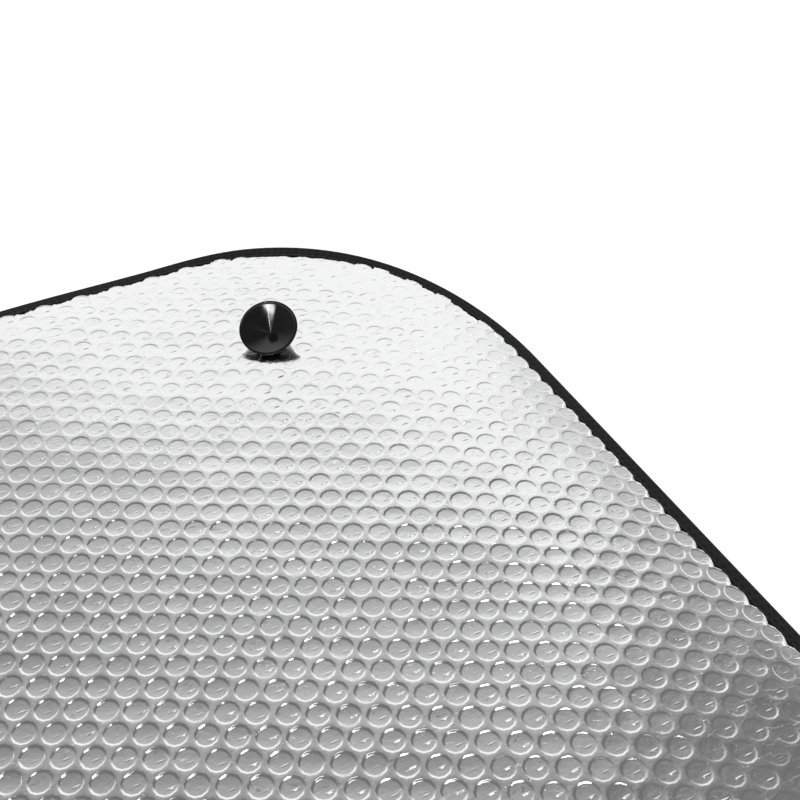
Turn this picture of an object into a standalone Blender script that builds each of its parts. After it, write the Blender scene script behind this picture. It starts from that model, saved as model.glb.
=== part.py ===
"""A windscreen sunshade that lies open with its cups up.

One sheet of metallised bubble foil, a woven tape folded over its whole edge, and a suction cup
near each corner, snapped through a punched hole and free to turn in it. Metres, +Z up, with the
origin under the middle of the shade.
"""

import math

import bmesh
import bpy
from mathutils import Vector

# The whole shade, measured over the tape
SHADE_LENGTH = 1.300
SHADE_WIDTH = 0.600
CORNER_RADIUS = 0.155

# The bow that rolling the shade up has left in its two ends
CREST_HEIGHT = 0.014
CREST_TO_END = 0.100
BOW_FADES_FROM = 0.250
BOW_ENDS_AT = 0.480

# The bubble foil: a layer of air bubbles between two films. The top film dips into a shallow
# dish over each bubble, row by row, and the sheet is pressed flat where the tape grips it.
FOIL_THICKNESS = 0.0039
FOIL_RIM_THICKNESS = 0.0012
BUBBLE_PITCH = 0.0115
DISH_DEPTH = 0.0005
DISH_SIDE_SHARE = 0.14
SWELL_WIDTH = 0.0025
BUBBLES_TO_TAPE = 0.0005

# The edge tape, folded in half over the foil
TAPE_THICKNESS = 0.0006
TAPE_LEG = 0.0100
TAPE_FOLD_DEPTH = 0.0010
TAPE_FOLD_BEVEL = 0.00025

# The suction cups, each one moulding: head, neck and cup
CUP_FROM_END = 0.124
CUP_FROM_SIDE = 0.092
CUP_RADIUS = 0.0151
CUP_DEPTH = 0.0076
CUP_FLOOR_THICKNESS = 0.0014
WALL_BELLY_REACH = 0.60
WALL_BELLY_RISE = 0.46
BOWL_BELLY_REACH = 0.55
BOWL_BELLY_DROP = 0.50
BOWL_FLOOR_RADIUS = 0.0008
BOWL_FLOOR_RISE = 0.0002
LIP_WIDTH = 0.0008
LIP_HEIGHT = 0.0012
LIP_BEVEL = 0.0004
HUB_RADIUS = 0.0036
NECK_RADIUS = 0.0022
NECK_ABOVE_FOIL = 0.0024
NECK_BELOW_FOIL = 0.0026
HEAD_RADIUS = 0.0040
HEAD_THICKNESS = 0.0024
HEAD_EDGE = 0.0006
HEAD_TIP_RADIUS = 0.0018
HOLE_CLEARANCE = 0.0005
CUP_LEAN = math.radians(29.0)
CUP_LEAN_AZIMUTH = math.radians(53.0)

GAP = 0.0003
CORNER_STEPS = 16
LONG_SIDE_STEP = 0.020
CUP_STEPS = 24
STATIONS_APART = 0.0005
PUNCH_OVER_FOIL = 4
MERGE = 1e-6

# Heights above the rest surface, from the floor upwards
FOIL_BOTTOM = TAPE_THICKNESS + GAP
FOIL_RIM_TOP = FOIL_BOTTOM + FOIL_RIM_THICKNESS
FOIL_TOP = FOIL_BOTTOM + FOIL_THICKNESS
TAPE_TOP = FOIL_RIM_TOP + GAP + TAPE_THICKNESS
FOIL_MIDDLE = FOIL_BOTTOM + FOIL_THICKNESS / 2

# Insets from the outside of the tape
FOIL_INSET = TAPE_THICKNESS + GAP
BUBBLE_INSET = TAPE_LEG + BUBBLES_TO_TAPE
SWELLED_INSET = BUBBLE_INSET + SWELL_WIDTH


def clear_scene():
    for old in list(bpy.data.objects):
        bpy.data.objects.remove(old, do_unlink=True)


def material(name, colour, roughness, metallic):
    made = bpy.data.materials.new(name)
    made.use_nodes = True
    shader = made.node_tree.nodes["Principled BSDF"]
    shader.inputs["Base Color"].default_value = (*colour, 1.0)
    shader.inputs["Roughness"].default_value = roughness
    shader.inputs["Metallic"].default_value = metallic
    return made


def finished(name, mesh, surface, crease_degrees):
    """Turns a bmesh into a named object with outward normals and smooth round faces."""
    bmesh.ops.remove_doubles(mesh, verts=mesh.verts, dist=MERGE)
    bmesh.ops.recalc_face_normals(mesh, faces=mesh.faces)
    data = bpy.data.meshes.new(name)
    mesh.to_mesh(data)
    mesh.free()
    data.shade_smooth()
    data.set_sharp_from_angle(angle=math.radians(crease_degrees))
    data.materials.append(surface)
    made = bpy.data.objects.new(name, data)
    bpy.context.collection.objects.link(made)
    return made


def rest_height(x):
    """How far the bow lifts the shade off the floor at x."""
    from_end = max(SHADE_LENGTH / 2 - abs(x), 0.0)
    share = from_end / CREST_TO_END
    bow = CREST_HEIGHT * share * math.exp(1 - share)
    settled = (from_end - BOW_FADES_FROM) / (BOW_ENDS_AT - BOW_FADES_FROM)
    settled = min(max(settled, 0.0), 1.0)
    return bow * (1 - settled * settled * (3 - 2 * settled))


def half_width(x, inset):
    """Half the width at x of the rounded outline, moved in by the inset."""
    radius = CORNER_RADIUS - inset
    past_straight = abs(x) - (SHADE_LENGTH / 2 - CORNER_RADIUS)
    if past_straight <= 0:
        return SHADE_WIDTH / 2 - inset
    drop = math.sqrt(max(radius * radius - past_straight * past_straight, 0.0))
    return SHADE_WIDTH / 2 - CORNER_RADIUS + drop


def rows():
    """The length of the bubble field and the number of bubble rows across it."""
    span = SHADE_LENGTH - 2 * BUBBLE_INSET
    return span, max(round(span / (BUBBLE_PITCH * math.sqrt(3) / 2)), 1)


def film_height(x):
    """How high the top film stands above the pressed rim at x, dipping along each row."""
    span, count = rows()
    from_end = span / 2 - abs(x)
    swelled = min(max(from_end / SWELL_WIDTH, 0.0), 1.0)
    across_row = from_end * count / span % 1.0
    dip = min(across_row / DISH_SIDE_SHARE, (1 - across_row) / DISH_SIDE_SHARE, 1.0)
    return swelled * (FOIL_TOP - FOIL_RIM_TOP - DISH_DEPTH * dip)


def foil_stations():
    """Each x that needs a cross-section: rows and dips, the swell's end, and round corners."""
    span, count = rows()
    stations = [span / 2 - SWELL_WIDTH, SWELL_WIDTH - span / 2]
    for row in range(count):
        for share in (0.0, DISH_SIDE_SHARE, 1 - DISH_SIDE_SHARE):
            stations.append((row + share) * span / count - span / 2)
    stations.append(span / 2)
    for inset in (FOIL_INSET, SWELLED_INSET):
        for step in range(CORNER_STEPS):
            angle = math.pi / 2 * (1 - step / CORNER_STEPS)
            reach = (CORNER_RADIUS - inset) * math.sin(angle)
            for side in (-1, 1):
                x = side * (SHADE_LENGTH / 2 - CORNER_RADIUS + reach)
                if min(abs(x - at) for at in stations) > STATIONS_APART:
                    stations.append(x)
    return sorted(stations)


def foil_section(x):
    """The closed cross-section of the foil at x: flat rim, swelled middle, flat rim."""
    edge = half_width(x, FOIL_INSET)
    foot_end, swelled_end = SHADE_LENGTH / 2 - BUBBLE_INSET, SHADE_LENGTH / 2 - SWELLED_INSET
    foot = min(half_width(min(abs(x), foot_end), BUBBLE_INSET), edge)
    inner = min(half_width(min(abs(x), swelled_end), SWELLED_INSET), foot)
    base = rest_height(x)
    low, rim = base + FOIL_BOTTOM, base + FOIL_RIM_TOP
    top = rim + film_height(x)
    return [
        (x, -edge, low), (x, edge, low), (x, edge, rim), (x, foot, rim),
        (x, inner, top), (x, -inner, top), (x, -foot, rim), (x, -edge, rim),
    ]


def skinned(sections, closed):
    """A mesh over a row of sections with the same number of points, capped or run in a ring."""
    mesh = bmesh.new()
    rings = [[mesh.verts.new(point) for point in section] for section in sections]
    pairs = list(zip(rings, rings[1:]))
    if closed:
        pairs.append((rings[-1], rings[0]))
    for here, there in pairs:
        for i in range(len(here)):
            j = (i + 1) % len(here)
            mesh.faces.new((here[i], here[j], there[j], there[i]))
    if not closed:
        mesh.faces.new(list(reversed(rings[0])))
        mesh.faces.new(rings[-1])
    return mesh


def make_foil(surface):
    """The sheet, lofted over its cross-sections, with a hole punched for each cup's neck."""
    sections = [foil_section(x) for x in foil_stations()]
    foil = finished("foil_panel", skinned(sections, closed=False), surface, 20)
    for name, spot, axis in cup_places():
        bpy.ops.mesh.primitive_cylinder_add(
            vertices=CUP_STEPS, radius=NECK_RADIUS + HOLE_CLEARANCE,
            depth=PUNCH_OVER_FOIL * FOIL_THICKNESS, location=spot,
            rotation=axis.to_track_quat("Z", "Y").to_euler(),
        )
        punch = bpy.context.object
        punch.name = "punch_" + name
        punch.hide_render = True
        punch.display_type = "WIRE"
        cut = foil.modifiers.new("hole_" + name, "BOOLEAN")
        cut.operation = "DIFFERENCE"
        cut.solver = "EXACT"
        cut.object = punch


def edge_path():
    """Points along the outline with their outward direction, once round the shade."""
    length, width = SHADE_LENGTH / 2 - CORNER_RADIUS, SHADE_WIDTH / 2 - CORNER_RADIUS
    bowed = BOW_ENDS_AT - CORNER_RADIUS
    steps = max(round(bowed / LONG_SIDE_STEP), 1)
    side = [length - bowed * i / steps for i in range(1, steps + 1)]
    side = side + [-x for x in reversed(side)]
    path = []
    for turn, (across, along) in enumerate(((1, 1), (-1, 1), (-1, -1), (1, -1))):
        for step in range(CORNER_STEPS + 1):
            angle = math.pi / 2 * (turn + step / CORNER_STEPS)
            path.append((across * length, along * width, math.cos(angle), math.sin(angle)))
        if turn == 0:
            path += [(x, width, 0.0, 1.0) for x in side]
        if turn == 2:
            path += [(-x, -width, 0.0, -1.0) for x in side]
    return path


def make_tape(surface):
    """The tape: one strip folded over the foil's edge, with a rounded fold, run in a ring."""
    profile = [
        (-TAPE_LEG, TAPE_TOP), (-TAPE_FOLD_DEPTH, TAPE_TOP),
        (-TAPE_FOLD_BEVEL, TAPE_TOP - TAPE_THICKNESS), (0.0, TAPE_TOP / 2),
        (-TAPE_FOLD_BEVEL, TAPE_THICKNESS), (-TAPE_FOLD_DEPTH, 0.0), (-TAPE_LEG, 0.0),
        (-TAPE_LEG, TAPE_THICKNESS), (-TAPE_THICKNESS, TAPE_THICKNESS),
        (-TAPE_THICKNESS, TAPE_TOP - TAPE_THICKNESS), (-TAPE_LEG, TAPE_TOP - TAPE_THICKNESS),
    ]
    sections = []
    for x, y, out_x, out_y in edge_path():
        ring = []
        for inward, height in profile:
            px = x + out_x * (CORNER_RADIUS + inward)
            py = y + out_y * (CORNER_RADIUS + inward)
            ring.append((px, py, rest_height(px) + height))
        sections.append(ring)
    finished("edge_binding", skinned(sections, closed=True), surface, 40)


def cup_places():
    """Each cup's name, the middle of its hole and the way its cup faces, leaning inwards."""
    x = SHADE_LENGTH / 2 - CUP_FROM_END
    y = SHADE_WIDTH / 2 - CUP_FROM_SIDE
    z = rest_height(x) + FOIL_MIDDLE
    flat = math.sin(CUP_LEAN)
    for across, end in ((1, "right"), (-1, "left")):
        for along, side in ((1, "back"), (-1, "front")):
            axis = Vector((
                -across * flat * math.cos(CUP_LEAN_AZIMUTH),
                -along * flat * math.sin(CUP_LEAN_AZIMUTH),
                math.cos(CUP_LEAN),
            ))
            yield f"{side}_{end}", Vector((across * x, along * y, z)), axis


def cup_profile():
    """Radius and height of the moulding about its axis, from the head's tip to the cup's floor."""
    head_top = -FOIL_THICKNESS / 2 - NECK_BELOW_FOIL
    head_tip = head_top - HEAD_THICKNESS
    back = FOIL_THICKNESS / 2 + NECK_ABOVE_FOIL
    floor = back + CUP_FLOOR_THICKNESS
    mouth = floor + CUP_DEPTH
    inside = CUP_RADIUS - LIP_WIDTH
    return [
        (0.0, head_tip), (HEAD_TIP_RADIUS, head_tip),
        (HEAD_RADIUS, head_top - HEAD_EDGE), (HEAD_RADIUS, head_top),
        (NECK_RADIUS, head_top), (NECK_RADIUS, back), (HUB_RADIUS, back),
        (CUP_RADIUS * WALL_BELLY_REACH, back + CUP_DEPTH * WALL_BELLY_RISE),
        (CUP_RADIUS - LIP_BEVEL, mouth - LIP_HEIGHT),
        (CUP_RADIUS, mouth - LIP_BEVEL), (CUP_RADIUS, mouth), (inside, mouth),
        (inside * BOWL_BELLY_REACH, mouth - CUP_DEPTH * BOWL_BELLY_DROP),
        (BOWL_FLOOR_RADIUS, floor + BOWL_FLOOR_RISE), (0.0, floor),
    ]


def make_cup(name, spot, axis, surface):
    """One turned moulding, with its origin in its hole and its own axis along local Z."""
    mesh = bmesh.new()
    points = [mesh.verts.new((radius, 0.0, height)) for radius, height in cup_profile()]
    edges = [mesh.edges.new(pair) for pair in zip(points, points[1:])]
    bmesh.ops.spin(
        mesh, geom=points + edges, cent=(0.0, 0.0, 0.0), axis=(0.0, 0.0, 1.0),
        angle=2 * math.pi, steps=CUP_STEPS, use_merge=True,
    )
    cup = finished("suction_cup_" + name, mesh, surface, 35)
    cup.location = spot
    cup.rotation_euler = axis.to_track_quat("Z", "Y").to_euler()


clear_scene()
make_foil(material("metallised_foil", (0.86, 0.87, 0.88), 0.22, 1.0))
make_tape(material("woven_tape", (0.012, 0.012, 0.013), 0.75, 0.0))
cup_rubber = material("black_pvc", (0.010, 0.010, 0.011), 0.12, 0.0)
for cup_name, cup_spot, cup_axis in cup_places():
    make_cup(cup_name, cup_spot, cup_axis, cup_rubber)
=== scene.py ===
import math

import bpy
import numpy as np
from mathutils import Matrix, Vector


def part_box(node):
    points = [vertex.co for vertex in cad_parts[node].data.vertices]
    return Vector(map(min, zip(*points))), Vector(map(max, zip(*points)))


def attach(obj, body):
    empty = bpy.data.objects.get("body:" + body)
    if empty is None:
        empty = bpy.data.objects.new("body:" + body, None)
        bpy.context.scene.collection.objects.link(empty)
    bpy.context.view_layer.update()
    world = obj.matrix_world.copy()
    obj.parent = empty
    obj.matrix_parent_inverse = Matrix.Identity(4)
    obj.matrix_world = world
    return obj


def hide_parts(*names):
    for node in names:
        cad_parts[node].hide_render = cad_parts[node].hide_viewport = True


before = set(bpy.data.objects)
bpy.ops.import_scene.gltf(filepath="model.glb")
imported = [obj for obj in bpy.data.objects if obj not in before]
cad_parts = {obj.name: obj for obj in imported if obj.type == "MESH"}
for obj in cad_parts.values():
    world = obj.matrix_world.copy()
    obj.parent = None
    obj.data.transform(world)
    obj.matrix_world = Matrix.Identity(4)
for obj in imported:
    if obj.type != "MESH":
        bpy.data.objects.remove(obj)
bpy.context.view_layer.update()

# The camera looks down across one corner of the shade, from the middle of its long side.
# Its place, heading and tilt are in metres and degrees of the shade's own frame.
CAMERA_PLACE = (0.3714, -0.2415, 0.3875)
CAMERA_HEADING = math.radians(27.0)
CAMERA_TILT = math.radians(41.38)
CAMERA_ROLL = math.radians(-0.15)
SENSOR_WIDTH = 36.0
LENS = 51.46

ahead = Vector((
    math.sin(CAMERA_HEADING) * math.cos(CAMERA_TILT),
    math.cos(CAMERA_HEADING) * math.cos(CAMERA_TILT),
    -math.sin(CAMERA_TILT),
))
level = Vector((math.cos(CAMERA_HEADING), -math.sin(CAMERA_HEADING), 0.0))
upward = level.cross(ahead)
across = level * math.cos(CAMERA_ROLL) + upward * math.sin(CAMERA_ROLL)
upright = upward * math.cos(CAMERA_ROLL) - level * math.sin(CAMERA_ROLL)
turned = Matrix((across, upright, -ahead)).transposed().to_4x4()

camera_data = bpy.data.cameras.new("camera")
camera_data.sensor_width = SENSOR_WIDTH
camera_data.lens = LENS
camera_data.clip_start = 0.01
camera_data.clip_end = 30.0
camera = bpy.data.objects.new("camera", camera_data)
camera.matrix_world = Matrix.Translation(CAMERA_PLACE) @ turned
bpy.context.scene.collection.objects.link(camera)
bpy.context.scene.camera = camera


# The bubble foil. The real sheet is a layer of air bubbles between two plastic films, with a
# mirror-bright metal coat. The air shrank as the welded sheet cooled and drew the film into a
# shallow round dish over each bubble. Rolling the shade up has left a low bow and creases.
SHADE_HALF_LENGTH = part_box("edge_binding")[1].x
SHADE_HALF_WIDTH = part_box("edge_binding")[1].y
CORNER_RADIUS = 0.155
LONG_RUN = SHADE_HALF_LENGTH - CORNER_RADIUS
SHORT_RUN = SHADE_HALF_WIDTH - CORNER_RADIUS
FOIL_INSET = SHADE_HALF_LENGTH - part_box("foil_panel")[1].x
FOIL_BOTTOM = 0.0009
FOIL_THICKNESS = 0.0039
RIM_THICKNESS = 0.0012
TAPE_LEG = 0.0100

# The bow: how high it stands, how far from each end, and where it has faded out
CREST_HEIGHT = 0.014
CREST_TO_END = 0.100
BOW_FADES_FROM = 0.250
BOW_ENDS_AT = 0.480

# The long edges stand up a little where the bow starts, and the tape droops off them
EDGE_LIFT = 0.0055
LIFT_ALONG = (0.100, 0.250, 0.390, 0.520)
LIFT_ACROSS = (0.040, 0.290)
TAPE_DROOP = 0.0016
DROOP_ALONG = (0.100, 0.250, 0.480, 0.560)

# The film is taut near a corner, and its dishes grow deeper from there on. The distance counts
# from the long side, with a share of how far the short side is past its reach.
BUBBLE_PITCH = 0.0115
DISH_DEPTH = 0.0005
TAUT_UP_TO = 0.125
SLACK_FROM = 0.300
LEAST_SLACK = 0.26
END_SHARE = 0.6
END_REACH = 0.150

# 130 rows from end to end, in five strips, because one sheet would be too heavy a mesh
ROWS_INSIDE_TAPE = 128
BUBBLES_TO_TAPE = 0.0005
ROW_STEP = 2 * (SHADE_HALF_LENGTH - TAPE_LEG - BUBBLES_TO_TAPE) / ROWS_INSIDE_TAPE
STRIPS = 5
ROWS_IN_STRIP = 26
BUBBLES_IN_ROW = 53
ROW_SHIFT = 0.0015
FIRST_ROW = (
    -ROW_STEP * (STRIPS * ROWS_IN_STRIP - 1) / 2,
    ROW_SHIFT - BUBBLE_PITCH * (BUBBLES_IN_ROW // 2),
)
BUBBLE_SIDES = 12
MERGE = 1e-5

# Radius and share of the depth of the dished film, from its wide floor up to the film around it
FLOOR_RADIUS = 0.0040
FLOOR_SAG = 0.00001
DISH_SIDE = (
    (0.0045, 0.72),
    (0.0049, 0.14),
    (0.00525, 0.02),
)

# How much one dish differs from the next, and how far the rows wander from straight lines
WIDTH_SPREAD = 0.035
SHIFT_SPREAD = 0.0003
LEAN_SPREAD = 0.022
LEAST_DEPTH = 0.7
DEPTH_SPREAD = 0.6
ROW_WANDER = 0.0004
WANDER_LENGTHS = (0.16, 0.19)

# The welded rim under the tape, and the film and the discs that swell up again beside it
SWELL_WIDTH = 0.0030
TAPE_FRONT = 0.0001
DISC_FRONT = 0.0005
DISC_RADIUS = BUBBLE_PITCH * 0.46
PAST_FLOOR = FLOOR_RADIUS * 1.05
PAST_FIRST_STEP = DISH_SIDE[0][0] * 1.04
LEAST_DISC_PAST_TAPE = 0.0012
HELD_BY_TAPE = 0.020

# What lies this near to the cut edge, or to a hole, is drawn up to it
LEFT_OUT_PAST_EDGE = 0.001
CROWDED_BAND = 0.003
EDGE_BAND = 0.007
HOLE_BAND = 0.0075
HOLE_PULL = 0.030

# Height, wave length and turn of the slow swells that rolling up has left
SLOW_SWELLS = ((0.00035, 0.11, 5), (0.00012, 0.035, 6))

CUP_FROM_END = 0.124
CUP_FROM_SIDE = 0.092
CUP_LEAN = math.radians(29.0)
CUP_LEAN_AZIMUTH = math.radians(53.0)
PUNCHED_RADIUS = 0.0027


def deselect_all():
    bpy.ops.object.select_all(action="DESELECT")


def pick(piece):
    """Makes a piece the only one that operators act on."""
    deselect_all()
    piece.select_set(True)
    bpy.context.view_layer.objects.active = piece


def corners_of(piece):
    corners = np.zeros(len(piece.data.vertices) * 3)
    piece.data.vertices.foreach_get("co", corners)
    return corners.reshape(-1, 3)


def move_corners(piece, corners):
    piece.data.vertices.foreach_set("co", corners.astype(np.float32).ravel())
    piece.data.update()


def face_middles(piece):
    middles = np.zeros(len(piece.data.polygons) * 3)
    piece.data.polygons.foreach_get("center", middles)
    return middles.reshape(-1, 3)


def smooth(share):
    share = np.clip(share, 0, 1)
    return share * share * (3 - 2 * share)


def rest_height(x):
    """How far the bow lifts the sheet at x."""
    from_end = np.maximum(SHADE_HALF_LENGTH - np.abs(x), 0.0)
    share = from_end / CREST_TO_END
    bow = CREST_HEIGHT * share * np.exp(1 - share)
    return bow * (1 - smooth((from_end - BOW_FADES_FROM) / (BOW_ENDS_AT - BOW_FADES_FROM)))


def stretch(x, start, full, fades, end):
    """1 along a stretch of each half of the shade, and 0 before and after it."""
    return smooth((np.abs(x) - start) / (full - start)) * smooth((end - np.abs(x)) / (end - fades))


def edge_lift(x, y):
    """How far a long edge stands up at a point, over what the bow lifts the sheet there."""
    from_side = SHADE_HALF_WIDTH - np.abs(y)
    up = EDGE_LIFT * smooth((LIFT_ACROSS[1] - from_side) / (LIFT_ACROSS[1] - LIFT_ACROSS[0]))
    droop = TAPE_DROOP * (1 - np.clip(from_side / TAPE_LEG, 0, 1))
    return stretch(x, *LIFT_ALONG) * up - stretch(x, *DROOP_ALONG) * droop


def inside_outline(x, y):
    """How far a point is inside the cut edge of the foil, and the outward direction there."""
    reach_x, reach_y = np.abs(x) - LONG_RUN, np.abs(y) - SHORT_RUN
    in_corner = (reach_x > 0) & (reach_y > 0)
    round_reach = np.hypot(np.maximum(reach_x, 0), np.maximum(reach_y, 0))
    reach = np.where(in_corner, round_reach, np.maximum(reach_x, reach_y))
    inside = CORNER_RADIUS - FOIL_INSET - reach
    safe = np.maximum(round_reach, 1e-9)
    out_x = np.where(in_corner, reach_x / safe, (reach_x >= reach_y) * 1.0) * np.sign(x)
    out_y = np.where(in_corner, reach_y / safe, (reach_x < reach_y) * 1.0) * np.sign(y)
    return inside, out_x, out_y


def bubble_of(x, y):
    """Row and place in the row of the bubble whose film a point is on, and the bubble's middle."""
    best = None
    row_guess = np.round((x - FIRST_ROW[0]) / ROW_STEP)
    for shift in (-1, 0, 1):
        row = row_guess + shift
        start = FIRST_ROW[1] - (row % 2) * BUBBLE_PITCH / 2
        place = np.round((y - start) / BUBBLE_PITCH)
        middle_x = FIRST_ROW[0] + row * ROW_STEP
        middle_y = start + place * BUBBLE_PITCH
        away = np.hypot(x - middle_x, y - middle_y)
        found = (away, row, place, middle_x, middle_y)
        if best is None:
            best = found
        else:
            nearer = away < best[0]
            best = tuple(np.where(nearer, new, old) for new, old in zip(found, best))
    return best[1:]


def cup_places():
    """Each cup's name, the middle of its hole and the way its mouth faces."""
    x = SHADE_HALF_LENGTH - CUP_FROM_END
    y = SHADE_HALF_WIDTH - CUP_FROM_SIDE
    z = float(rest_height(x)) + FOIL_BOTTOM + FOIL_THICKNESS / 2
    flat = math.sin(CUP_LEAN)
    for sign_x, end in ((1, "right"), (-1, "left")):
        for sign_y, side in ((1, "back"), (-1, "front")):
            axis = Vector((
                -sign_x * flat * math.cos(CUP_LEAN_AZIMUTH),
                -sign_y * flat * math.sin(CUP_LEAN_AZIMUTH),
                math.cos(CUP_LEAN),
            ))
            yield f"{side}_{end}", Vector((sign_x * x, sign_y * y, z)), axis


def seeded(row, place, salt):
    """A number from 0 to 1 that belongs to one bubble."""
    mixed = np.sin(row * 12.9898 + place * 78.233 + salt * 37.719) * 43758.5453
    return mixed - np.floor(mixed)


def rolling(x, y, length, salt):
    """A smooth swell from -1 to 1 with about the given wave length."""
    total = np.zeros_like(x)
    for i in range(4):
        turn = salt * 1.7 + i * 1.1
        k = 2 * math.pi / length * (0.75 + 0.22 * i)
        total += np.sin(k * (x * math.cos(turn) + y * math.sin(turn)) + salt * 2.3 + i * 1.9)
    return total / 4


def make_bubble():
    """One dished circle in its own hexagon of film, with the flat back film under it."""
    deselect_all()
    bpy.ops.mesh.primitive_circle_add(
        vertices=BUBBLE_SIDES, radius=FLOOR_RADIUS, fill_type="TRIFAN", location=(0, 0, 0),
    )
    bubble = bpy.context.object
    bubble.name = bubble.data.name = "foil_bubble"
    for vertex in bubble.data.vertices:
        vertex.co.z = -DISH_DEPTH - FLOOR_SAG * (vertex.co.length < FLOOR_RADIUS / 2)
    bpy.ops.object.mode_set(mode="EDIT")
    bpy.ops.mesh.select_mode(type="EDGE")
    bpy.ops.mesh.select_all(action="SELECT")
    bpy.ops.mesh.region_to_loop()
    radius, height = FLOOR_RADIUS, -DISH_DEPTH
    for next_radius, share in DISH_SIDE + ((BUBBLE_PITCH / 2, 0.0),):
        bpy.ops.mesh.extrude_region_move(
            TRANSFORM_OT_translate={"value": (0, 0, -DISH_DEPTH * share - height)})
        widen = next_radius / radius
        bpy.ops.transform.resize(value=(widen, widen, 1))
        radius, height = next_radius, -DISH_DEPTH * share
    bpy.ops.object.mode_set(mode="OBJECT")

    # The outermost ring goes to the corners and the middles of the hexagon's sides
    corner = ROW_STEP / 2 + BUBBLE_PITCH ** 2 / (8 * ROW_STEP)
    quarter = ((corner, 0), (ROW_STEP / 2, BUBBLE_PITCH / 4), (ROW_STEP - corner, BUBBLE_PITCH / 2),
               (0, BUBBLE_PITCH / 2))
    for vertex in bubble.data.vertices:
        if vertex.co.z < -MERGE:
            continue
        step = round(math.degrees(math.atan2(vertex.co.y, vertex.co.x)) / 30) % 12
        mirrored = step if step <= 3 else abs(6 - step) if step <= 9 else 12 - step
        side_x = -1 if 3 < step < 9 else 1
        side_y = -1 if step > 6 else 1
        vertex.co = (side_x * quarter[mirrored][0], side_y * quarter[mirrored][1], 0.0)
    bpy.ops.object.mode_set(mode="EDIT")
    bpy.ops.mesh.duplicate_move(TRANSFORM_OT_translate={"value": (0, 0, -FOIL_THICKNESS)})
    bpy.ops.mesh.edge_face_add()
    bpy.ops.object.mode_set(mode="OBJECT")
    own = bubble.data.uv_layers.new(name="bubble")
    for loop in bubble.data.loops:
        place = bubble.data.vertices[loop.vertex_index].co
        own.data[loop.index].uv = (place.x / BUBBLE_PITCH + 0.5, place.y / BUBBLE_PITCH + 0.5)
    return bubble


def repeat(piece, count, offset):
    """Copies a piece along an offset and welds each copy to the one before it."""
    bpy.ops.object.modifier_add(type="ARRAY")
    copies = piece.modifiers[-1]
    copies.count = count
    copies.use_relative_offset = False
    copies.use_constant_offset = True
    copies.constant_offset_displace = offset
    copies.use_merge_vertices = True
    copies.merge_threshold = MERGE
    bpy.ops.object.modifier_apply(modifier=copies.name)


def left_out(row, place, middle_x, middle_y):
    """True for a bubble past the cut edge, or where a hole is punched for a cup."""
    gone = inside_outline(middle_x, middle_y)[0] < -LEFT_OUT_PAST_EDGE
    for hole_row, hole_place in holes:
        gone = gone | ((row == hole_row) & (place == hole_place))
    return gone


def trim(strip):
    """Removes the film past the cut edge and in the punched holes, and closes the cut."""
    data = strip.data
    middles = face_middles(strip)
    gone = left_out(*bubble_of(middles[:, 0], middles[:, 1]))
    bpy.ops.object.mode_set(mode="EDIT")
    bpy.ops.mesh.select_mode(type="FACE")
    bpy.ops.object.mode_set(mode="OBJECT")
    data.polygons.foreach_set("select", gone)
    bpy.ops.object.mode_set(mode="EDIT")
    bpy.ops.mesh.delete(type="FACE")
    bpy.ops.mesh.select_mode(type="EDGE")
    bpy.ops.mesh.select_all(action="DESELECT")
    bpy.ops.mesh.select_non_manifold(
        use_wire=False, use_multi_face=False, use_non_contiguous=False, use_verts=False)
    bpy.ops.object.mode_set(mode="OBJECT")

    # The cut edge of the top film is drawn down to that of the back film, and welded to it
    on_top = corners_of(strip)[:, 2] > -FOIL_THICKNESS / 2
    ends = np.zeros(len(data.edges) * 2, int)
    data.edges.foreach_get("vertices", ends)
    picked = np.zeros(len(data.edges), bool)
    data.edges.foreach_get("select", picked)
    top_edge = picked & on_top[ends.reshape(-1, 2)].all(axis=1)
    data.vertices.foreach_set("select", np.zeros(len(data.vertices), bool))
    data.edges.foreach_set("select", top_edge)
    bpy.ops.object.mode_set(mode="EDIT")
    bpy.ops.mesh.extrude_region_move(
        TRANSFORM_OT_translate={"value": (0, 0, -FOIL_THICKNESS)})
    bpy.ops.mesh.select_all(action="SELECT")
    bpy.ops.mesh.remove_doubles(threshold=MERGE)
    bpy.ops.mesh.normals_make_consistent(inside=False)
    bpy.ops.object.mode_set(mode="OBJECT")


def beside_gap(x, y):
    """True where a corner of the film borders on a bubble that was left out."""
    a_little = 0.0004
    beside = np.zeros(len(x), bool)
    for i in range(6):
        angle = math.radians(37 + 60 * i)
        near = bubble_of(x + a_little * math.cos(angle), y + a_little * math.sin(angle))
        beside |= left_out(*near)
    return beside


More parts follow.
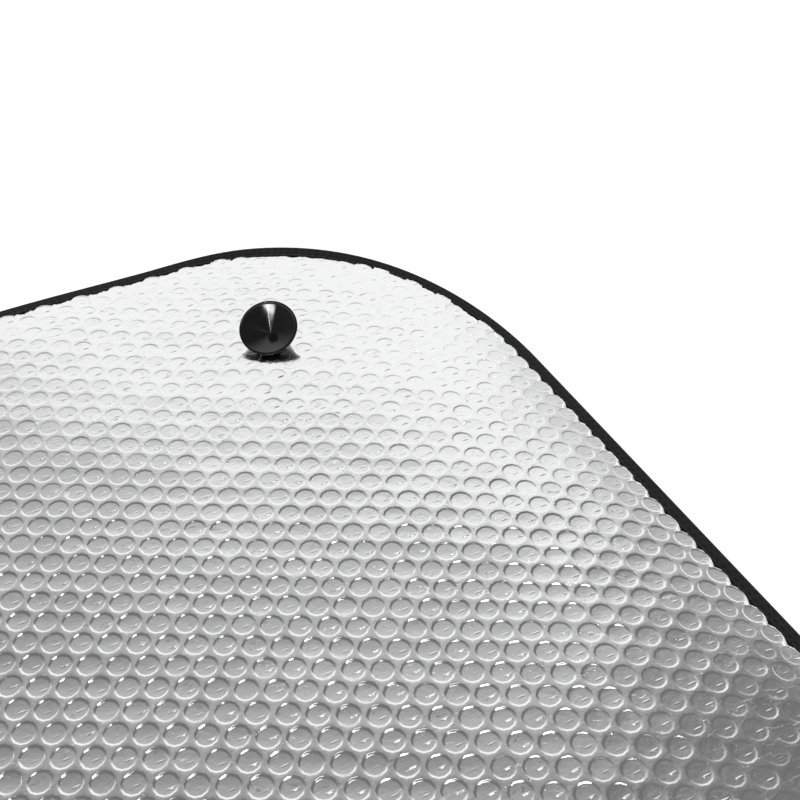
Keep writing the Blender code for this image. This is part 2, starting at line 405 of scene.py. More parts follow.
def settle(strip):
    """Gives each bubble its own slack and lays the sheet over its bow, swells and holes."""
    x, y, h = corners_of(strip).T.copy()
    row, place, middle_x, middle_y = bubble_of(x, y)
    back = h < -FOIL_THICKNESS / 2
    dished = ~back & (h < -MERGE)
    border = ~dished & beside_gap(x, y)

    # Each dish differs in width, depth and lean, and is shallow where the corner is taut
    from_side = SHADE_HALF_WIDTH - np.abs(middle_y)
    from_end = SHADE_HALF_LENGTH - np.abs(middle_x)
    from_corner = from_side + END_SHARE * (from_end - END_REACH)
    drawn_share = smooth((from_corner - TAUT_UP_TO) / (SLACK_FROM - TAUT_UP_TO))
    slack = LEAST_SLACK + (1 - LEAST_SLACK) * drawn_share
    width = 1 + WIDTH_SPREAD * (seeded(row, place, 1) - 0.5)
    shift_x = SHIFT_SPREAD * (seeded(row, place, 2) - 0.5)
    shift_y = SHIFT_SPREAD * (seeded(row, place, 3) - 0.5)
    deep = slack * (LEAST_DEPTH + DEPTH_SPREAD * seeded(row, place, 4))
    lean_x = LEAN_SPREAD * (seeded(row, place, 6) - 0.5)
    lean_y = LEAN_SPREAD * (seeded(row, place, 7) - 0.5)
    off_x, off_y = x - middle_x, y - middle_y
    drawn = np.clip(-h / DISH_DEPTH, 0, 1)
    new_x = np.where(dished, middle_x + off_x * width + shift_x, x)
    new_y = np.where(dished, middle_y + off_y * width + shift_y, y)
    h = np.where(dished, h * deep + drawn * (off_x * lean_x + off_y * lean_y), h)

    # The rows wander slightly, and draw in towards each punched hole
    new_x = new_x + ROW_WANDER * rolling(x, y, WANDER_LENGTHS[0], 1)
    new_y = new_y + ROW_WANDER * rolling(x, y, WANDER_LENGTHS[1], 2)
    for (hole_row, hole_place), (name, spot, axis) in zip(holes, cup_places()):
        from_x = FIRST_ROW[0] + hole_row * ROW_STEP
        from_y = FIRST_ROW[1] - (hole_row % 2) * BUBBLE_PITCH / 2 + hole_place * BUBBLE_PITCH
        near = np.exp(-((x - from_x) ** 2 + (y - from_y) ** 2) / HOLE_PULL ** 2)
        new_x = new_x + (spot.x - from_x) * near
        new_y = new_y + (spot.y - from_y) * near

    # The tape grips the sheet flat, and the sheet swells up again beside it
    inside, out_x, out_y = inside_outline(new_x, new_y)
    under_tape = TAPE_LEG - FOIL_INSET
    past_tape = inside - under_tape
    from_middle = np.hypot(off_x, off_y)
    swelled = smooth(past_tape / SWELL_WIDTH)

    # A bubble that reaches the tape keeps its height up to it, and turns down steeply in front
    middle_past = inside_outline(middle_x, middle_y)[0] - under_tape
    on_disc = ~back & (from_middle < DISC_RADIUS) & (middle_past > LEAST_DISC_PAST_TAPE)
    swelled = np.where(on_disc, 1.0, swelled)
    pinched = on_disc & (past_tape < DISC_FRONT)
    on_floor = pinched & (from_middle < PAST_FLOOR)
    on_side = from_middle < PAST_FIRST_STEP
    in_front = pinched & ~on_floor & (on_side | (past_tape > -TAPE_FRONT))
    stands_at = np.where(on_floor, DISC_FRONT, np.where(in_front, TAPE_FRONT, past_tape))
    new_x = new_x - out_x * (stands_at - past_tape)
    new_y = new_y - out_y * (stands_at - past_tape)
    swelled = np.where(pinched & ~on_floor, 0.0, swelled)
    inside = inside + stands_at - past_tape
    thick = RIM_THICKNESS + (FOIL_THICKNESS - RIM_THICKNESS) * swelled
    held = np.clip((inside - under_tape) / HELD_BY_TAPE, 0, 1)

    # The film near the cut edge crowds up to it, and the last corners of the film lie on it
    crowded = CROWDED_BAND * np.exp((inside - CROWDED_BAND) / CROWDED_BAND)
    drawn_in = np.where(inside < CROWDED_BAND, crowded, inside)
    at_edge = border & (inside < EDGE_BAND)
    drawn_in = np.where(at_edge, 0.0, drawn_in)
    new_x = new_x + out_x * (inside - drawn_in)
    new_y = new_y + out_y * (inside - drawn_in)

    # A neck passes through each punched hole, with the film flat round it
    height = np.where(back, 0.0, thick + np.where(dished, h * swelled, 0.0))
    for name, spot, axis in cup_places():
        away_x, away_y = new_x - spot.x, new_y - spot.y
        away = np.maximum(np.hypot(away_x, away_y), 1e-9)
        rim = border & (away < HOLE_BAND)
        slant = (away_x * axis.x + away_y * axis.y) / away
        hole_reach = PUNCHED_RADIUS / np.sqrt(1 - slant ** 2)
        depth = height - FOIL_THICKNESS / 2
        hole_x = spot.x + axis.x / axis.z * depth + away_x / away * hole_reach
        hole_y = spot.y + axis.y / axis.z * depth + away_y / away * hole_reach
        new_x = np.where(rim, hole_x, new_x)
        new_y = np.where(rim, hole_y, new_y)

    # Slow swells, and the sheet's own slope under everything that stands on it
    swell = sum(
        high * (1 + rolling(new_x, new_y, length, salt)) for high, length, salt in SLOW_SWELLS
    )
    base = rest_height(new_x) + edge_lift(new_x, new_y) + held * swell
    near = 0.001
    slope = (rest_height(new_x + near) - rest_height(new_x - near)) / (2 * near)
    upright_share = 1 / np.sqrt(1 + slope ** 2)
    z = base + FOIL_BOTTOM + height * upright_share
    new_x = new_x - height * held * slope * upright_share
    move_corners(strip, np.column_stack((new_x, new_y, z)))


def number_bubbles(strip):
    """Every bubble's own two numbers, for the place and the depth of its pinch mark."""
    middles = face_middles(strip)
    row, place = bubble_of(middles[:, 0], middles[:, 1])[:2]
    numbers = np.column_stack((seeded(row, place, 8), seeded(row, place, 9)))
    per_face = np.zeros(len(strip.data.polygons), int)
    strip.data.polygons.foreach_get("loop_total", per_face)
    own = strip.data.uv_layers.new(name="own_number")
    own.data.foreach_set("uv", np.repeat(numbers, per_face, axis=0).astype(np.float32).ravel())


# The row and the place in it of each bubble that a cup's hole takes up
holes = []
for name, spot, axis in cup_places():
    row, place = bubble_of(np.array([spot.x]), np.array([spot.y]))[:2]
    holes.append((float(row[0]), float(place[0])))

bubble = make_bubble()
repeat(bubble, BUBBLES_IN_ROW, (0, BUBBLE_PITCH, 0))
repeat(bubble, 2, (ROW_STEP, -BUBBLE_PITCH / 2, 0))
repeat(bubble, ROWS_IN_STRIP // 2, (2 * ROW_STEP, 0, 0))

foil_strips = []
for number in range(STRIPS):
    strip = bubble.copy()
    strip.data = bubble.data.copy()
    strip.name = strip.data.name = f"bubble_foil_{number + 1}"
    bpy.context.collection.objects.link(strip)
    shift = (FIRST_ROW[0] + number * ROWS_IN_STRIP * ROW_STEP, FIRST_ROW[1], 0)
    strip.data.transform(Matrix.Translation(shift))
    pick(strip)
    trim(strip)
    number_bubbles(strip)
    settle(strip)

    # The film's normals follow its large faces, so that floors and the film between look flat
    bpy.ops.object.shade_smooth_by_angle(angle=math.radians(70))
    bpy.ops.object.modifier_add(type="WEIGHTED_NORMAL")
    flat_floors = strip.modifiers[-1]
    flat_floors.weight = 90
    flat_floors.keep_sharp = True
    bpy.ops.object.modifier_apply(modifier=flat_floors.name)
    foil_strips.append(strip)
bpy.data.objects.remove(bubble)


def new_material(name):
    """A material, with its node tree and its shader."""
    made = bpy.data.materials.new(name)
    made.use_nodes = True
    return made, made.node_tree, made.node_tree.nodes["Principled BSDF"]


def add_node(tree, kind, inputs=None, **settings):
    """A shader node. Each input gets a value of its own, or the output that feeds it."""
    node = tree.nodes.new("ShaderNode" + kind)
    for setting, value in settings.items():
        setattr(node, setting, value)
    for socket, value in (inputs or {}).items():
        if isinstance(value, bpy.types.NodeSocket):
            tree.links.new(value, node.inputs[socket])
        else:
            node.inputs[socket].default_value = value
    return node


def tone_between(tree, mask, first, second):
    """A colour between two, as a mask says."""
    colours = {"Factor": mask, "A": (*first, 1), "B": (*second, 1)}
    return add_node(tree, "Mix", colours, data_type="RGBA").outputs["Result"]


def raised(tree, height, distance, strength=1.0, over=None):
    """The surface normal where a height from 0 to 1 stands a distance in metres high."""
    relief = add_node(tree, "Bump", {"Height": height, "Distance": distance, "Strength": strength})
    if over is not None:
        tree.links.new(over, relief.inputs["Normal"])
    return relief.outputs["Normal"]


def metal_coat():
    """Aluminium coat on soft film: bright, a little blurred, creased where the film was drawn."""
    made, tree, shader = new_material("metallised_foil")
    shader.inputs["Metallic"].default_value = 1.0

    place = add_node(tree, "TexCoord").outputs["Object"]
    clouds = add_node(
        tree, "TexNoise", {"Vector": place, "Scale": 90.0, "Detail": 4.0}).outputs["Fac"]
    tone = tone_between(tree, clouds, (0.88, 0.885, 0.89), (0.93, 0.932, 0.935))
    tree.links.new(tone, shader.inputs["Base Color"])
    blur = add_node(tree, "MapRange", {"Value": clouds, "To Min": 0.12, "To Max": 0.19})
    tree.links.new(blur.outputs["Result"], shader.inputs["Roughness"])

    # The short pinch mark that the drawing mould leaves across each bubble's top, moved and
    # deepened by the bubble's own numbers
    on_bubble = add_node(tree, "UVMap", uv_map="bubble").outputs["UV"]
    own_numbers = add_node(tree, "UVMap", uv_map="own_number").outputs["UV"]
    moved = add_node(
        tree, "VectorMath", {0: own_numbers, 1: (-0.14, -0.14, 0), 2: (-0.52, -0.30, 0)},
        operation="MULTIPLY_ADD",
    )
    from_mark = add_node(
        tree, "VectorMath", {0: on_bubble, 1: moved.outputs["Vector"]}, operation="ADD")
    along_mark = add_node(tree, "Mapping", {
        "Vector": from_mark.outputs["Vector"], "Rotation": (0, 0, math.radians(6)),
        "Scale": (5.0, 23.0, 1),
    })
    reach = add_node(tree, "VectorMath", {0: along_mark.outputs["Vector"]}, operation="LENGTH")
    mark = add_node(
        tree, "MapRange", {"Value": reach.outputs["Value"], "From Min": 1.0, "From Max": 0.0},
        interpolation_type="SMOOTHSTEP",
    )
    own_parts = add_node(tree, "SeparateXYZ", {"Vector": own_numbers})
    mark_height = add_node(
        tree, "Math", {0: mark.outputs["Result"], 1: own_parts.outputs["X"]}, operation="MULTIPLY")
    pinched = raised(tree, mark_height.outputs["Value"], 0.00024)

    # Soft dents a few millimetres across
    dents = add_node(tree, "TexNoise", {"Vector": place, "Scale": 260.0, "Detail": 2.0})
    dented = raised(tree, dents.outputs["Fac"], 0.00009, over=pinched)

    # Thin creases that wander from bubble to bubble and break off: the level lines of a noise
    # that is drawn out along the sheet
    drawn_out = add_node(tree, "Mapping", {"Vector": place, "Scale": (38.0, 75.0, 60.0)})
    hills = add_node(tree, "TexNoise", {
        "Vector": drawn_out.outputs["Vector"], "Scale": 1.0, "Detail": 2.5, "Roughness": 0.6,
    })
    on_line = add_node(
        tree, "Math", {0: hills.outputs["Fac"], 1: 0.5, 2: 0.008}, operation="COMPARE")
    broken = add_node(tree, "MapRange", {"Value": clouds, "From Min": 0.44, "From Max": 0.56})
    crease_height = add_node(
        tree, "Math", {0: on_line.outputs["Value"], 1: broken.outputs["Result"]},
        operation="MULTIPLY",
    )
    creased = raised(tree, crease_height.outputs["Value"], 0.00014, over=dented)
    tree.links.new(creased, shader.inputs["Normal"])
    return made


foil_coat = metal_coat()
for strip in foil_strips:
    strip.data.materials.clear()
    strip.data.materials.append(foil_coat)
    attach(strip, "shade")
    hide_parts("foil_panel")


# The edge tape. The real one is a woven polyester ribbon 22 mm wide, folded in half over the cut
# edge of the foil all the way round, and sewn through.
TAPE_THICKNESS = 0.0006
TAPE_TOP = 0.0030
TAPE_CLEARANCE = 0.0001
TAPE_STEP = 0.005
TAPE_CORNER_STEPS = 40
FOLD_STEPS = 6
TAPE_RIPPLE = 0.0003
RIPPLE_LENGTH = 0.022
LEG_CUTS = (0.0035, 0.0058)
CUT_EDGE_ROUND = 0.0002
SEAM_INSET = 0.0083
SEAM_GROOVE = 0.0008
SEAM_DIP = 0.00012


def fold_arc(radius, start, end):
    """Points round the folded edge of the tape, as inset and height."""
    middle = TAPE_TOP / 2
    points = []
    for step in range(1, FOLD_STEPS):
        angle = math.radians(start + (end - start) * step / FOLD_STEPS)
        points.append((middle - radius * math.cos(angle), middle + radius * math.sin(angle)))
    return points


def tape_outline():
    """The cross-section of the folded tape, as inset from its outer edge and height."""
    middle = TAPE_TOP / 2
    leg = (middle, *LEG_CUTS, SEAM_INSET - SEAM_GROOVE, SEAM_INSET, SEAM_INSET + SEAM_GROOVE)
    upper = [(inset, TAPE_TOP - SEAM_DIP * (inset == SEAM_INSET)) for inset in leg]
    upper += [(TAPE_LEG - CUT_EDGE_ROUND, TAPE_TOP), (TAPE_LEG, TAPE_TOP - CUT_EDGE_ROUND)]
    slot = [(inset, TAPE_TOP - TAPE_THICKNESS) for inset in (TAPE_LEG, LEG_CUTS[1], middle)]
    inner = slot + fold_arc(middle - TAPE_THICKNESS, 90, -90)
    inner += [(inset, TAPE_TOP - height) for inset, height in reversed(slot)]
    lower = [(inset, TAPE_TOP - height) for inset, height in reversed(upper)]
    return upper + inner + lower + fold_arc(middle, -90, 90)


def make_tape():
    """A quarter of the tape, drawn along its path and mirrored to the whole ring."""
    data = bpy.data.meshes.new("woven_edge_tape")
    corners = [(0, SHADE_HALF_WIDTH - inset, height) for inset, height in tape_outline()]
    sides = [(i, (i + 1) % len(corners)) for i in range(len(corners))]
    data.from_pydata(corners, sides, [])
    tape = bpy.data.objects.new("woven_edge_tape", data)
    bpy.context.collection.objects.link(tape)
    pick(tape)
    bpy.ops.object.mode_set(mode="EDIT")
    bpy.ops.mesh.select_all(action="SELECT")
    for step in range(round(LONG_RUN / TAPE_STEP)):
        bpy.ops.mesh.extrude_region_move(TRANSFORM_OT_translate={"value": (TAPE_STEP, 0, 0)})
    bpy.ops.mesh.spin(
        steps=TAPE_CORNER_STEPS, angle=math.pi / 2, center=(LONG_RUN, SHORT_RUN, 0),
        axis=(0, 0, 1),
    )
    for step in range(round(SHORT_RUN / TAPE_STEP)):
        bpy.ops.mesh.extrude_region_move(TRANSFORM_OT_translate={"value": (0, -TAPE_STEP, 0)})
    bpy.ops.object.mode_set(mode="OBJECT")
    bpy.ops.object.modifier_add(type="MIRROR")
    halves = tape.modifiers[-1]
    halves.use_axis = (True, True, False)
    halves.merge_threshold = MERGE
    bpy.ops.object.modifier_apply(modifier=halves.name)
    bpy.ops.object.mode_set(mode="EDIT")
    bpy.ops.mesh.select_all(action="SELECT")
    bpy.ops.mesh.remove_doubles(threshold=MERGE)
    bpy.ops.mesh.normals_make_consistent(inside=False)
    bpy.ops.object.mode_set(mode="OBJECT")
    return tape


def along_edge(x, y):
    """How far a point lies round its quarter of the outline, from the middle of the long side."""
    reach_x, reach_y = np.abs(x) - LONG_RUN, np.abs(y) - SHORT_RUN
    turned = np.arctan2(np.maximum(reach_x, 0), np.maximum(reach_y, 1e-9))
    on_short = (reach_x > 0) & (reach_y <= 0)
    round_part = np.where(on_short, CORNER_RADIUS * math.pi / 2 - reach_y, CORNER_RADIUS * turned)
    return np.where(reach_x > 0, LONG_RUN + round_part, np.abs(x))


def lay_on_bow(piece, corners):
    """Writes corners back to a piece, lifted by the shade's bow."""
    corners[:, 2] += rest_height(corners[:, 0]) + edge_lift(corners[:, 0], corners[:, 1])
    move_corners(piece, corners)


def woven_tape():
    """Black polyester in plain weave: matt ribs across the tape, crossed by fine warp threads."""
    made, tree, shader = new_material("woven_tape")
    shader.inputs["Specular IOR Level"].default_value = 0.25
    shader.inputs["Roughness"].default_value = 0.8
    along = add_node(tree, "UVMap", uv_map="along_tape").outputs["UV"]
    threads = {}
    for direction, per_metre in (("X", 1500.0), ("Y", 1900.0)):
        waves = {"Vector": along, "Scale": per_metre / 20, "Distortion": 0.4, "Detail": 1.0,
                 "Detail Scale": 3.0}
        threads[direction] = add_node(tree, "TexWave", waves, bands_direction=direction)
    weave = add_node(
        tree, "Math", {0: threads["X"].outputs["Fac"], 1: threads["Y"].outputs["Fac"]},
        operation="MAXIMUM",
    )
    fuzz = add_node(tree, "TexNoise", {"Vector": along, "Scale": 900.0, "Detail": 3.0})
    worn = add_node(
        tree, "Math", {0: weave.outputs["Value"], 1: fuzz.outputs["Fac"]}, operation="MULTIPLY")
    tone = tone_between(tree, worn.outputs["Value"], (0.002, 0.002, 0.002), (0.032, 0.032, 0.033))
    tree.links.new(tone, shader.inputs["Base Color"])
    tree.links.new(raised(tree, weave.outputs["Value"], 0.00012), shader.inputs["Normal"])
    return made


tape = make_tape()
corners = corners_of(tape)
inset = inside_outline(corners[:, 0], corners[:, 1])[0] + FOIL_INSET
run = along_edge(corners[:, 0], corners[:, 1])
which_side = np.where(corners[:, 2] > TAPE_TOP / 2, 1.0, -1.0)
weave_map = tape.data.uv_layers.new(name="along_tape")
loop_corners = np.zeros(len(tape.data.loops), int)
tape.data.loops.foreach_get("vertex_index", loop_corners)
flat_tape = np.column_stack((run, inset * which_side))
weave_map.data.foreach_set("uv", flat_tape[loop_corners].astype(np.float32).ravel())

# The cut edges ripple a little, and the tape lifts off the floor by the depth of the stitches
inner_share = np.clip((inset - SEAM_INSET) / (TAPE_LEG - SEAM_INSET), 0, 1)
ripple = TAPE_RIPPLE * rolling(corners[:, 0] + 0.3, corners[:, 1], RIPPLE_LENGTH, 3) * inner_share
out_x, out_y = inside_outline(corners[:, 0], corners[:, 1])[1:]
corners[:, 0] += out_x * ripple
corners[:, 1] += out_y * ripple
corners[:, 2] = TAPE_CLEARANCE + corners[:, 2] * (TAPE_TOP - TAPE_CLEARANCE) / TAPE_TOP
lay_on_bow(tape, corners)
bpy.ops.object.shade_smooth_by_angle(angle=math.radians(50))
tape.data.materials.append(woven_tape())
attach(tape, "shade")
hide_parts("edge_binding")


# The seam. One row of lockstitch in black polyester thread is sewn through the tape and the foil,
# all the way round, and shows on both faces of the tape.
STITCH_LENGTH = 0.0027
STITCH_PITCH = 0.0034
STITCH_CUTS = (-0.34, 0.0, 0.34)
STITCH_DIVE = 1.8
THREAD_RADIUS = 0.00019
THREAD_STANDS = 0.00006


def make_stitch():
    """One stitch of thread along X, whose ends dive into the cloth."""
    deselect_all()
    bpy.ops.mesh.primitive_cylinder_add(
        vertices=6, radius=THREAD_RADIUS, depth=STITCH_LENGTH, end_fill_type="NGON",
        location=(0, 0, 0), rotation=(0, math.pi / 2, 0),
    )
    stitch = bpy.context.object
    bpy.ops.object.transform_apply(location=False, rotation=True, scale=False)
    bpy.ops.object.mode_set(mode="EDIT")
    bpy.ops.mesh.select_all(action="SELECT")
    for cut in STITCH_CUTS:
        bpy.ops.mesh.bisect(plane_co=(cut * STITCH_LENGTH, 0, 0), plane_no=(1, 0, 0))
        bpy.ops.mesh.select_all(action="SELECT")
    bpy.ops.object.mode_set(mode="OBJECT")
    for vertex in stitch.data.vertices:
        share = abs(vertex.co.x) / (STITCH_LENGTH / 2)
        vertex.co.z -= THREAD_RADIUS * STITCH_DIVE * share ** 3
    return stitch


def seam_places():
    """Each stitch's middle and heading round the shade."""
    radius = CORNER_RADIUS - SEAM_INSET
    bend = radius * math.pi / 2
    runs = []
    for quarter in range(4):
        straight = 2 * (SHORT_RUN if quarter % 2 else LONG_RUN)
        runs += [("straight", quarter, straight), ("bend", quarter, bend)]
    whole = sum(length for kind, quarter, length in runs)
    count = round(whole / STITCH_PITCH)
    at, walked = 0, 0.0
    for number in range(count):
        distance = whole * number / count
        while distance - walked > runs[at][2]:
            walked += runs[at][2]
            at += 1
        kind, quarter, length = runs[at]
        turn = -math.pi / 2 * quarter
        half = (SHORT_RUN if quarter % 2 else LONG_RUN)
        reach = (LONG_RUN if quarter % 2 else SHORT_RUN)
        step = distance - walked
        if kind == "straight":
            place, swing = (step - half, reach + radius), 0.0
        else:
            swing = -step / radius
            place = (half - radius * math.sin(swing), reach + radius * math.cos(swing))
        yield (
            place[0] * math.cos(turn) - place[1] * math.sin(turn),
            place[0] * math.sin(turn) + place[1] * math.cos(turn),
            turn + swing,
        )


stitch = make_stitch()
one = corners_of(stitch)
sides = [tuple(face.vertices) for face in stitch.data.polygons]
bpy.data.objects.remove(stitch)
on_top = TAPE_TOP - SEAM_DIP + THREAD_STANDS
underneath = TAPE_CLEARANCE + SEAM_DIP - THREAD_STANDS
points, faces = [], []
for x, y, heading in seam_places():
    for face_up, thread_height in ((1, on_top), (-1, underneath)):
        sideways = one[:, 1] * face_up
        spun_x = one[:, 0] * math.cos(heading) - sideways * math.sin(heading)
        spun_y = one[:, 0] * math.sin(heading) + sideways * math.cos(heading)
        faces += [tuple(len(points) + i for i in side) for side in sides]
        points += list(zip(x + spun_x, y + spun_y, thread_height + one[:, 2] * face_up))
seam_data = bpy.data.meshes.new("edge_stitching")
seam_data.from_pydata(points, [], faces)
seam = bpy.data.objects.new("edge_stitching", seam_data)
bpy.context.collection.objects.link(seam)
lay_on_bow(seam, corners_of(seam))
pick(seam)
bpy.ops.object.shade_smooth_by_angle(angle=math.radians(60))


def sewing_thread():
    """Black polyester thread, twisted, with a little more lustre than the tape."""
    made, tree, shader = new_material("sewing_thread")
    shader.inputs["Roughness"].default_value = 0.5
    place = add_node(tree, "TexCoord").outputs["Object"]
    twist = add_node(tree, "TexNoise", {"Vector": place, "Scale": 2500.0}).outputs["Fac"]
    tone = tone_between(tree, twist, (0.006, 0.006, 0.006), (0.035, 0.035, 0.036))
    tree.links.new(tone, shader.inputs["Base Color"])
    tree.links.new(raised(tree, twist, 0.00005), shader.inputs["Normal"])
    return made


seam.data.materials.append(sewing_thread())
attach(seam, "shade")


# The suction cups. Each is one soft moulding of glossy black PVC, turned about its own axis: a
# small head under the foil, a neck through the punched hole, and a thin-walled cup with a lip.
CUP_RADIUS = 0.0151
CUP_DEPTH = 0.0076
CUP_FLOOR_THICKNESS = 0.0014
LIP_WIDTH = 0.0008
LIP_HEIGHT = 0.0012
LIP_ROUND = 0.0002
HUB_RADIUS = 0.0036
NECK_RADIUS = 0.0022
NECK_ABOVE_FOIL = 0.0024
NECK_BELOW_FOIL = 0.0026
HEAD_RADIUS = 0.0040
HEAD_THICKNESS = 0.0024
HEAD_TIP_RADIUS = 0.0018
HEAD_SHOULDER = 0.0010
HEAD_BAND = 0.0006
CUP_STEPS = 96

# Where the cup's back and its bowl pass halfway, as shares of radius and depth, and the small
# mound in the bowl's middle, as radius and height
BACK_BELLY = (0.60, 0.46)
BOWL_BELLY = (0.55, 0.50)
BOWL_MOUND = (0.0004, 0.00018)


def bowed(start, through, end, steps):
    """Points of a parabola from start to end that passes through a third point halfway."""
    pull = [2 * m - (a + b) / 2 for a, m, b in zip(start, through, end)]
    points = []
    for step in range(1, steps):
        t = step / steps
        points.append(tuple(
            a * (1 - t) ** 2 + 2 * c * t * (1 - t) + b * t * t for a, c, b in zip(start, pull, end)
        ))
    return points


def cup_outline():
    """Radius and height of the moulding from the head's tip to the middle of the cup's floor."""
    head_top = -FOIL_THICKNESS / 2 - NECK_BELOW_FOIL
    head_tip = head_top - HEAD_THICKNESS
    back = FOIL_THICKNESS / 2 + NECK_ABOVE_FOIL
    floor_height = back + CUP_FLOOR_THICKNESS
    mouth = floor_height + CUP_DEPTH
    inside = CUP_RADIUS - LIP_WIDTH
    outer_foot = (HUB_RADIUS + LIP_ROUND, back + LIP_ROUND / 2)
    outer_lip = (CUP_RADIUS - 2 * LIP_ROUND, mouth - LIP_HEIGHT)
    inner_lip = (inside - LIP_ROUND, mouth - 2 * LIP_ROUND)
    mound = (BOWL_MOUND[0], floor_height + BOWL_MOUND[1])
    shoulder = head_top - HEAD_SHOULDER
    back_belly = (CUP_RADIUS * BACK_BELLY[0], back + CUP_DEPTH * BACK_BELLY[1])
    bowl_belly = (inside * BOWL_BELLY[0], mouth - CUP_DEPTH * BOWL_BELLY[1])

    # The head and the neck
    points = [(0.0, head_tip), (HEAD_TIP_RADIUS * 0.6, head_tip)]
    points += [(HEAD_TIP_RADIUS, head_tip + LIP_ROUND / 2), (HEAD_RADIUS - LIP_ROUND, shoulder)]
    points += [(HEAD_RADIUS, head_top - HEAD_BAND), (HEAD_RADIUS, head_top - LIP_ROUND)]
    points += [(HEAD_RADIUS - LIP_ROUND, head_top), (NECK_RADIUS + LIP_ROUND, head_top)]
    points += [(NECK_RADIUS, head_top + LIP_ROUND), (NECK_RADIUS, 0.0)]
    points += [(NECK_RADIUS, back - LIP_ROUND), (NECK_RADIUS + LIP_ROUND, back)]

    # The cup's back, its lip and its bowl
    points += [(HUB_RADIUS, back), outer_foot]
    points += bowed(outer_foot, back_belly, outer_lip, 12)
    points += [outer_lip, (CUP_RADIUS - LIP_ROUND / 2, mouth - LIP_HEIGHT / 2)]
    points += [(CUP_RADIUS, mouth - 2 * LIP_ROUND), (CUP_RADIUS, mouth - LIP_ROUND / 2)]
    points += [(CUP_RADIUS - LIP_ROUND / 2, mouth), (inside + LIP_ROUND / 2, mouth)]
    points += [(inside, mouth - LIP_ROUND / 2), inner_lip]
    points += bowed(inner_lip, bowl_belly, mound, 18)
    points += [mound, (0.0, floor_height)]
    return points


def make_cup(name, spot, axis):
    """The outline spun into a cup, which then leans in its hole."""
    data = bpy.data.meshes.new(name)
    corners = [(radius, 0, height) for radius, height in cup_outline()]
    data.from_pydata(corners, [(i, i + 1) for i in range(len(corners) - 1)], [])
    cup = bpy.data.objects.new(name, data)
    bpy.context.collection.objects.link(cup)
    pick(cup)
    bpy.ops.object.mode_set(mode="EDIT")
    bpy.ops.mesh.select_all(action="SELECT")
    bpy.ops.mesh.spin(steps=CUP_STEPS, angle=2 * math.pi, center=(0, 0, 0), axis=(0, 0, 1))
    bpy.ops.mesh.select_all(action="SELECT")
    bpy.ops.mesh.remove_doubles(threshold=MERGE)
    bpy.ops.mesh.normals_make_consistent(inside=False)
    bpy.ops.object.mode_set(mode="OBJECT")
    around = data.uv_layers.new(name="round_axis")
    for loop in data.loops:
        place = data.vertices[loop.vertex_index].co
        around.data[loop.index].uv = (place.xy.length, place.z)
    data.transform(Matrix.Translation(spot) @ axis.to_track_quat("Z", "Y").to_matrix().to_4x4())
    bpy.ops.object.shade_smooth_by_angle(angle=math.radians(60))
    return cup


def glossy_pvc():
    """Soft black PVC off a polished mould: deep gloss with faint rings and a little haze."""
    made, tree, shader = new_material("black_pvc")
    place = add_node(tree, "TexCoord").outputs["Object"]
    haze = add_node(
        tree, "TexNoise", {"Vector": place, "Scale": 160.0, "Detail": 5.0}).outputs["Fac"]
    gloss = add_node(tree, "MapRange", {"Value": haze, "To Min": 0.08, "To Max": 0.14})
    tree.links.new(gloss.outputs["Result"], shader.inputs["Roughness"])
    tone = tone_between(tree, haze, (0.004, 0.004, 0.0045), (0.009, 0.009, 0.0095))
    tree.links.new(tone, shader.inputs["Base Color"])
    round_axis = add_node(tree, "UVMap", uv_map="round_axis").outputs["UV"]
    rings = add_node(
        tree, "TexWave", {"Vector": round_axis, "Scale": 60.0, "Distortion": 1.5},
        bands_direction="X",
    )
    ringed = raised(tree, rings.outputs["Fac"], 0.00003, strength=0.15)
    tree.links.new(ringed, shader.inputs["Normal"])
    return made


pvc = glossy_pvc()
for name, spot, axis in cup_places():
    cup = make_cup("pvc_cup_" + name, spot, axis)
    cup.data.materials.append(pvc)
    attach(cup, "cup_" + name)
    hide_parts("suction_cup_" + name)


# The room: a white floor that keeps the shade's soft shadow, a wide white reflector low behind
# the shade, pale walls below a dim grey ceiling, a long soft lamp overhead and two lamps beyond
# the camera.
FLOOR_SIZE = 14.0
FLOOR_BELOW = 0.0002
FLOOR_GLOW = 0.72
REFLECTOR_AZIMUTH = math.radians(25.0)
REFLECTOR_REACH = 90.0
REFLECTOR_STEPS = (
    (40, 1.0), (43, 0.94), (45, 0.87), (47, 0.76), (49, 0.63), (51, 0.55), (54, 0.51), (58, 0.45),
    (64, 0.32), (74, 0.21),
)
RIGHT_END = (40.0, 100.0)
RIGHT_END_STEPS = ((46, 0.92), (50, 0.76), (54, 0.62), (60, 0.48), (72, 0.28))
WALL_REACH = 30.0
WALL_STEPS = ((10, 0.82), (16, 0.45), (21, 0.24))
ROOM_GREY = 0.17
bpy.ops.mesh.primitive_plane_add(size=FLOOR_SIZE, location=(0, 0, -FLOOR_BELOW))
floor = bpy.context.object
floor.name = floor.data.name = "floor"
floor_paint, tree, paper = new_material("floor_paint")
paper.inputs["Base Color"].default_value = (0.86, 0.86, 0.86, 1)
paper.inputs["Roughness"].default_value = 0.9
paper.inputs["Emission Color"].default_value = (1, 1, 1, 1)
rays = add_node(tree, "LightPath")
seen = add_node(
    tree, "Math", {0: rays.outputs["Is Camera Ray"], 1: rays.outputs["Is Glossy Ray"]},
    operation="MAXIMUM",
)
glow = add_node(tree, "Math", {0: seen.outputs["Value"], 1: FLOOR_GLOW}, operation="MULTIPLY")
tree.links.new(glow.outputs["Value"], paper.inputs["Emission Strength"])
floor.data.materials.append(floor_paint)

world = bpy.data.worlds.new("room")
bpy.context.scene.world = world
world.use_nodes = True
tree = world.node_tree
tree.nodes.clear()


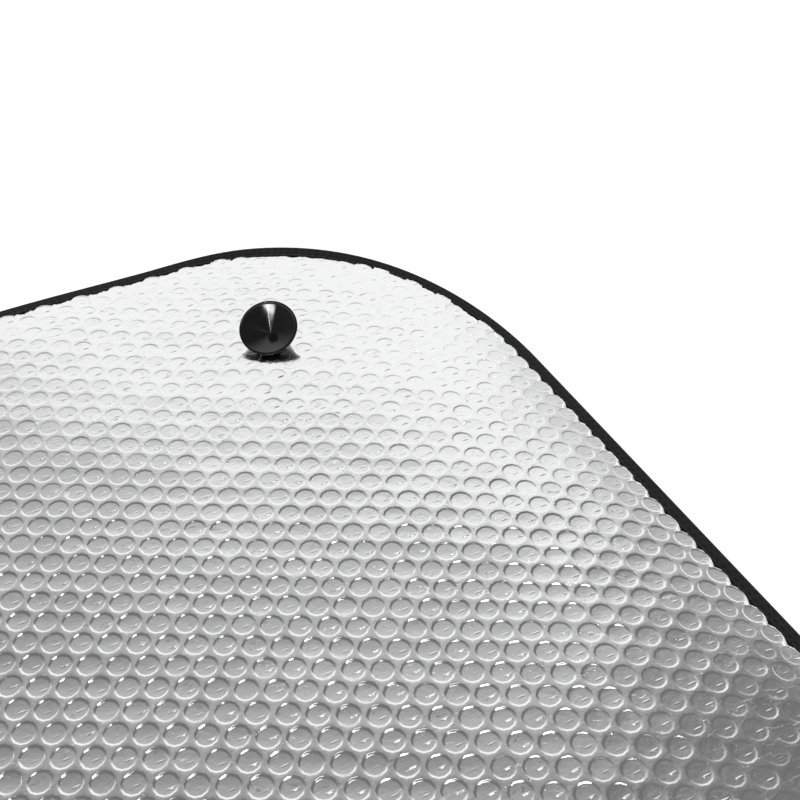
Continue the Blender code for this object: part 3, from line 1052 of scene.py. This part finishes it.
def grey_ramp(value, start, end, stops):
    """White at the start, a grey at each angle that stops gives, and the room's grey at the end."""
    spread = add_node(tree, "MapRange", {
        "Value": value, "From Min": math.radians(start), "From Max": math.radians(end),
    })
    ramp = add_node(tree, "ValToRGB", {"Fac": spread.outputs["Result"]})
    elements = ramp.color_ramp.elements
    elements[0].position, elements[0].color = 0.0, (1, 1, 1, 1)
    elements[1].position, elements[1].color = 1.0, (ROOM_GREY, ROOM_GREY, ROOM_GREY, 1)
    for degrees, grey in stops:
        element = elements.new((degrees - start) / (end - start))
        element.color = (grey, grey, grey, 1)
    return ramp.outputs["Color"]


# The direction of a ray, as its angle off the reflector's middle, its azimuth and its elevation
toward = add_node(tree, "TexCoord").outputs["Generated"]
reflector_middle = (math.sin(REFLECTOR_AZIMUTH), math.cos(REFLECTOR_AZIMUTH), 0.0)
facing = add_node(tree, "VectorMath", {0: toward, 1: reflector_middle}, operation="DOT_PRODUCT")
off_middle = add_node(tree, "Math", {0: facing.outputs["Value"]}, operation="ARCCOSINE")
parts = add_node(tree, "SeparateXYZ", {"Vector": toward})
azimuth = add_node(
    tree, "Math", {0: parts.outputs["X"], 1: parts.outputs["Y"]}, operation="ARCTAN2")
elevation = add_node(tree, "Math", {0: parts.outputs["Z"]}, operation="ARCSINE")

reflector = add_node(tree, "Mix", data_type="RGBA", blend_type="MULTIPLY", inputs={
    "Factor": 1.0,
    "A": grey_ramp(off_middle.outputs["Value"], 0.0, REFLECTOR_REACH, REFLECTOR_STEPS),
    "B": grey_ramp(azimuth.outputs["Value"], *RIGHT_END, RIGHT_END_STEPS),
})
walls = add_node(tree, "Mix", data_type="RGBA", blend_type="LIGHTEN", inputs={
    "Factor": 1.0,
    "A": reflector.outputs["Result"],
    "B": grey_ramp(elevation.outputs["Value"], 0.0, WALL_REACH, WALL_STEPS),
})
sky = add_node(tree, "Background", {"Color": walls.outputs["Result"], "Strength": 1.0})
add_node(tree, "OutputWorld", {"Surface": sky.outputs["Background"]})

# Each lamp's shape, width, depth, power and place, and the point that it faces. The one that
# faces straight down is turned as the camera is.
lamps = (
    ("overhead_lamp", "RECTANGLE", 1.00, 0.32, 3.4, (0.75, -0.38, 1.65), (0.75, -0.38, 0.0)),
    ("camera_side_lamp", "ELLIPSE", 1.20, 0.20, 14.0, (-0.70, -1.23, 0.97), (0.53, 0.21, 0.02)),
    ("lamp_over_camera", "RECTANGLE", 0.09, 0.60, 3.6, (-0.67, -1.26, 1.30), (0.53, 0.21, 0.02)),
)
for name, shape, width, depth, power, spot, aim in lamps:
    lamp_data = bpy.data.lights.new(name, "AREA")
    lamp_data.shape = shape
    lamp_data.size = width
    lamp_data.size_y = depth
    lamp_data.energy = power
    lamp = bpy.data.objects.new(name, lamp_data)
    lamp.location = spot
    back = (Vector(spot) - Vector(aim)).normalized()
    sideways = (across if abs(back.z) > 0.99 else Vector((0, 0, 1)).cross(back)).normalized()
    lamp.rotation_euler = Matrix((sideways, back.cross(sideways), back)).transposed().to_euler()
    bpy.context.scene.collection.objects.link(lamp)

bpy.context.scene.view_settings.view_transform = "Standard"
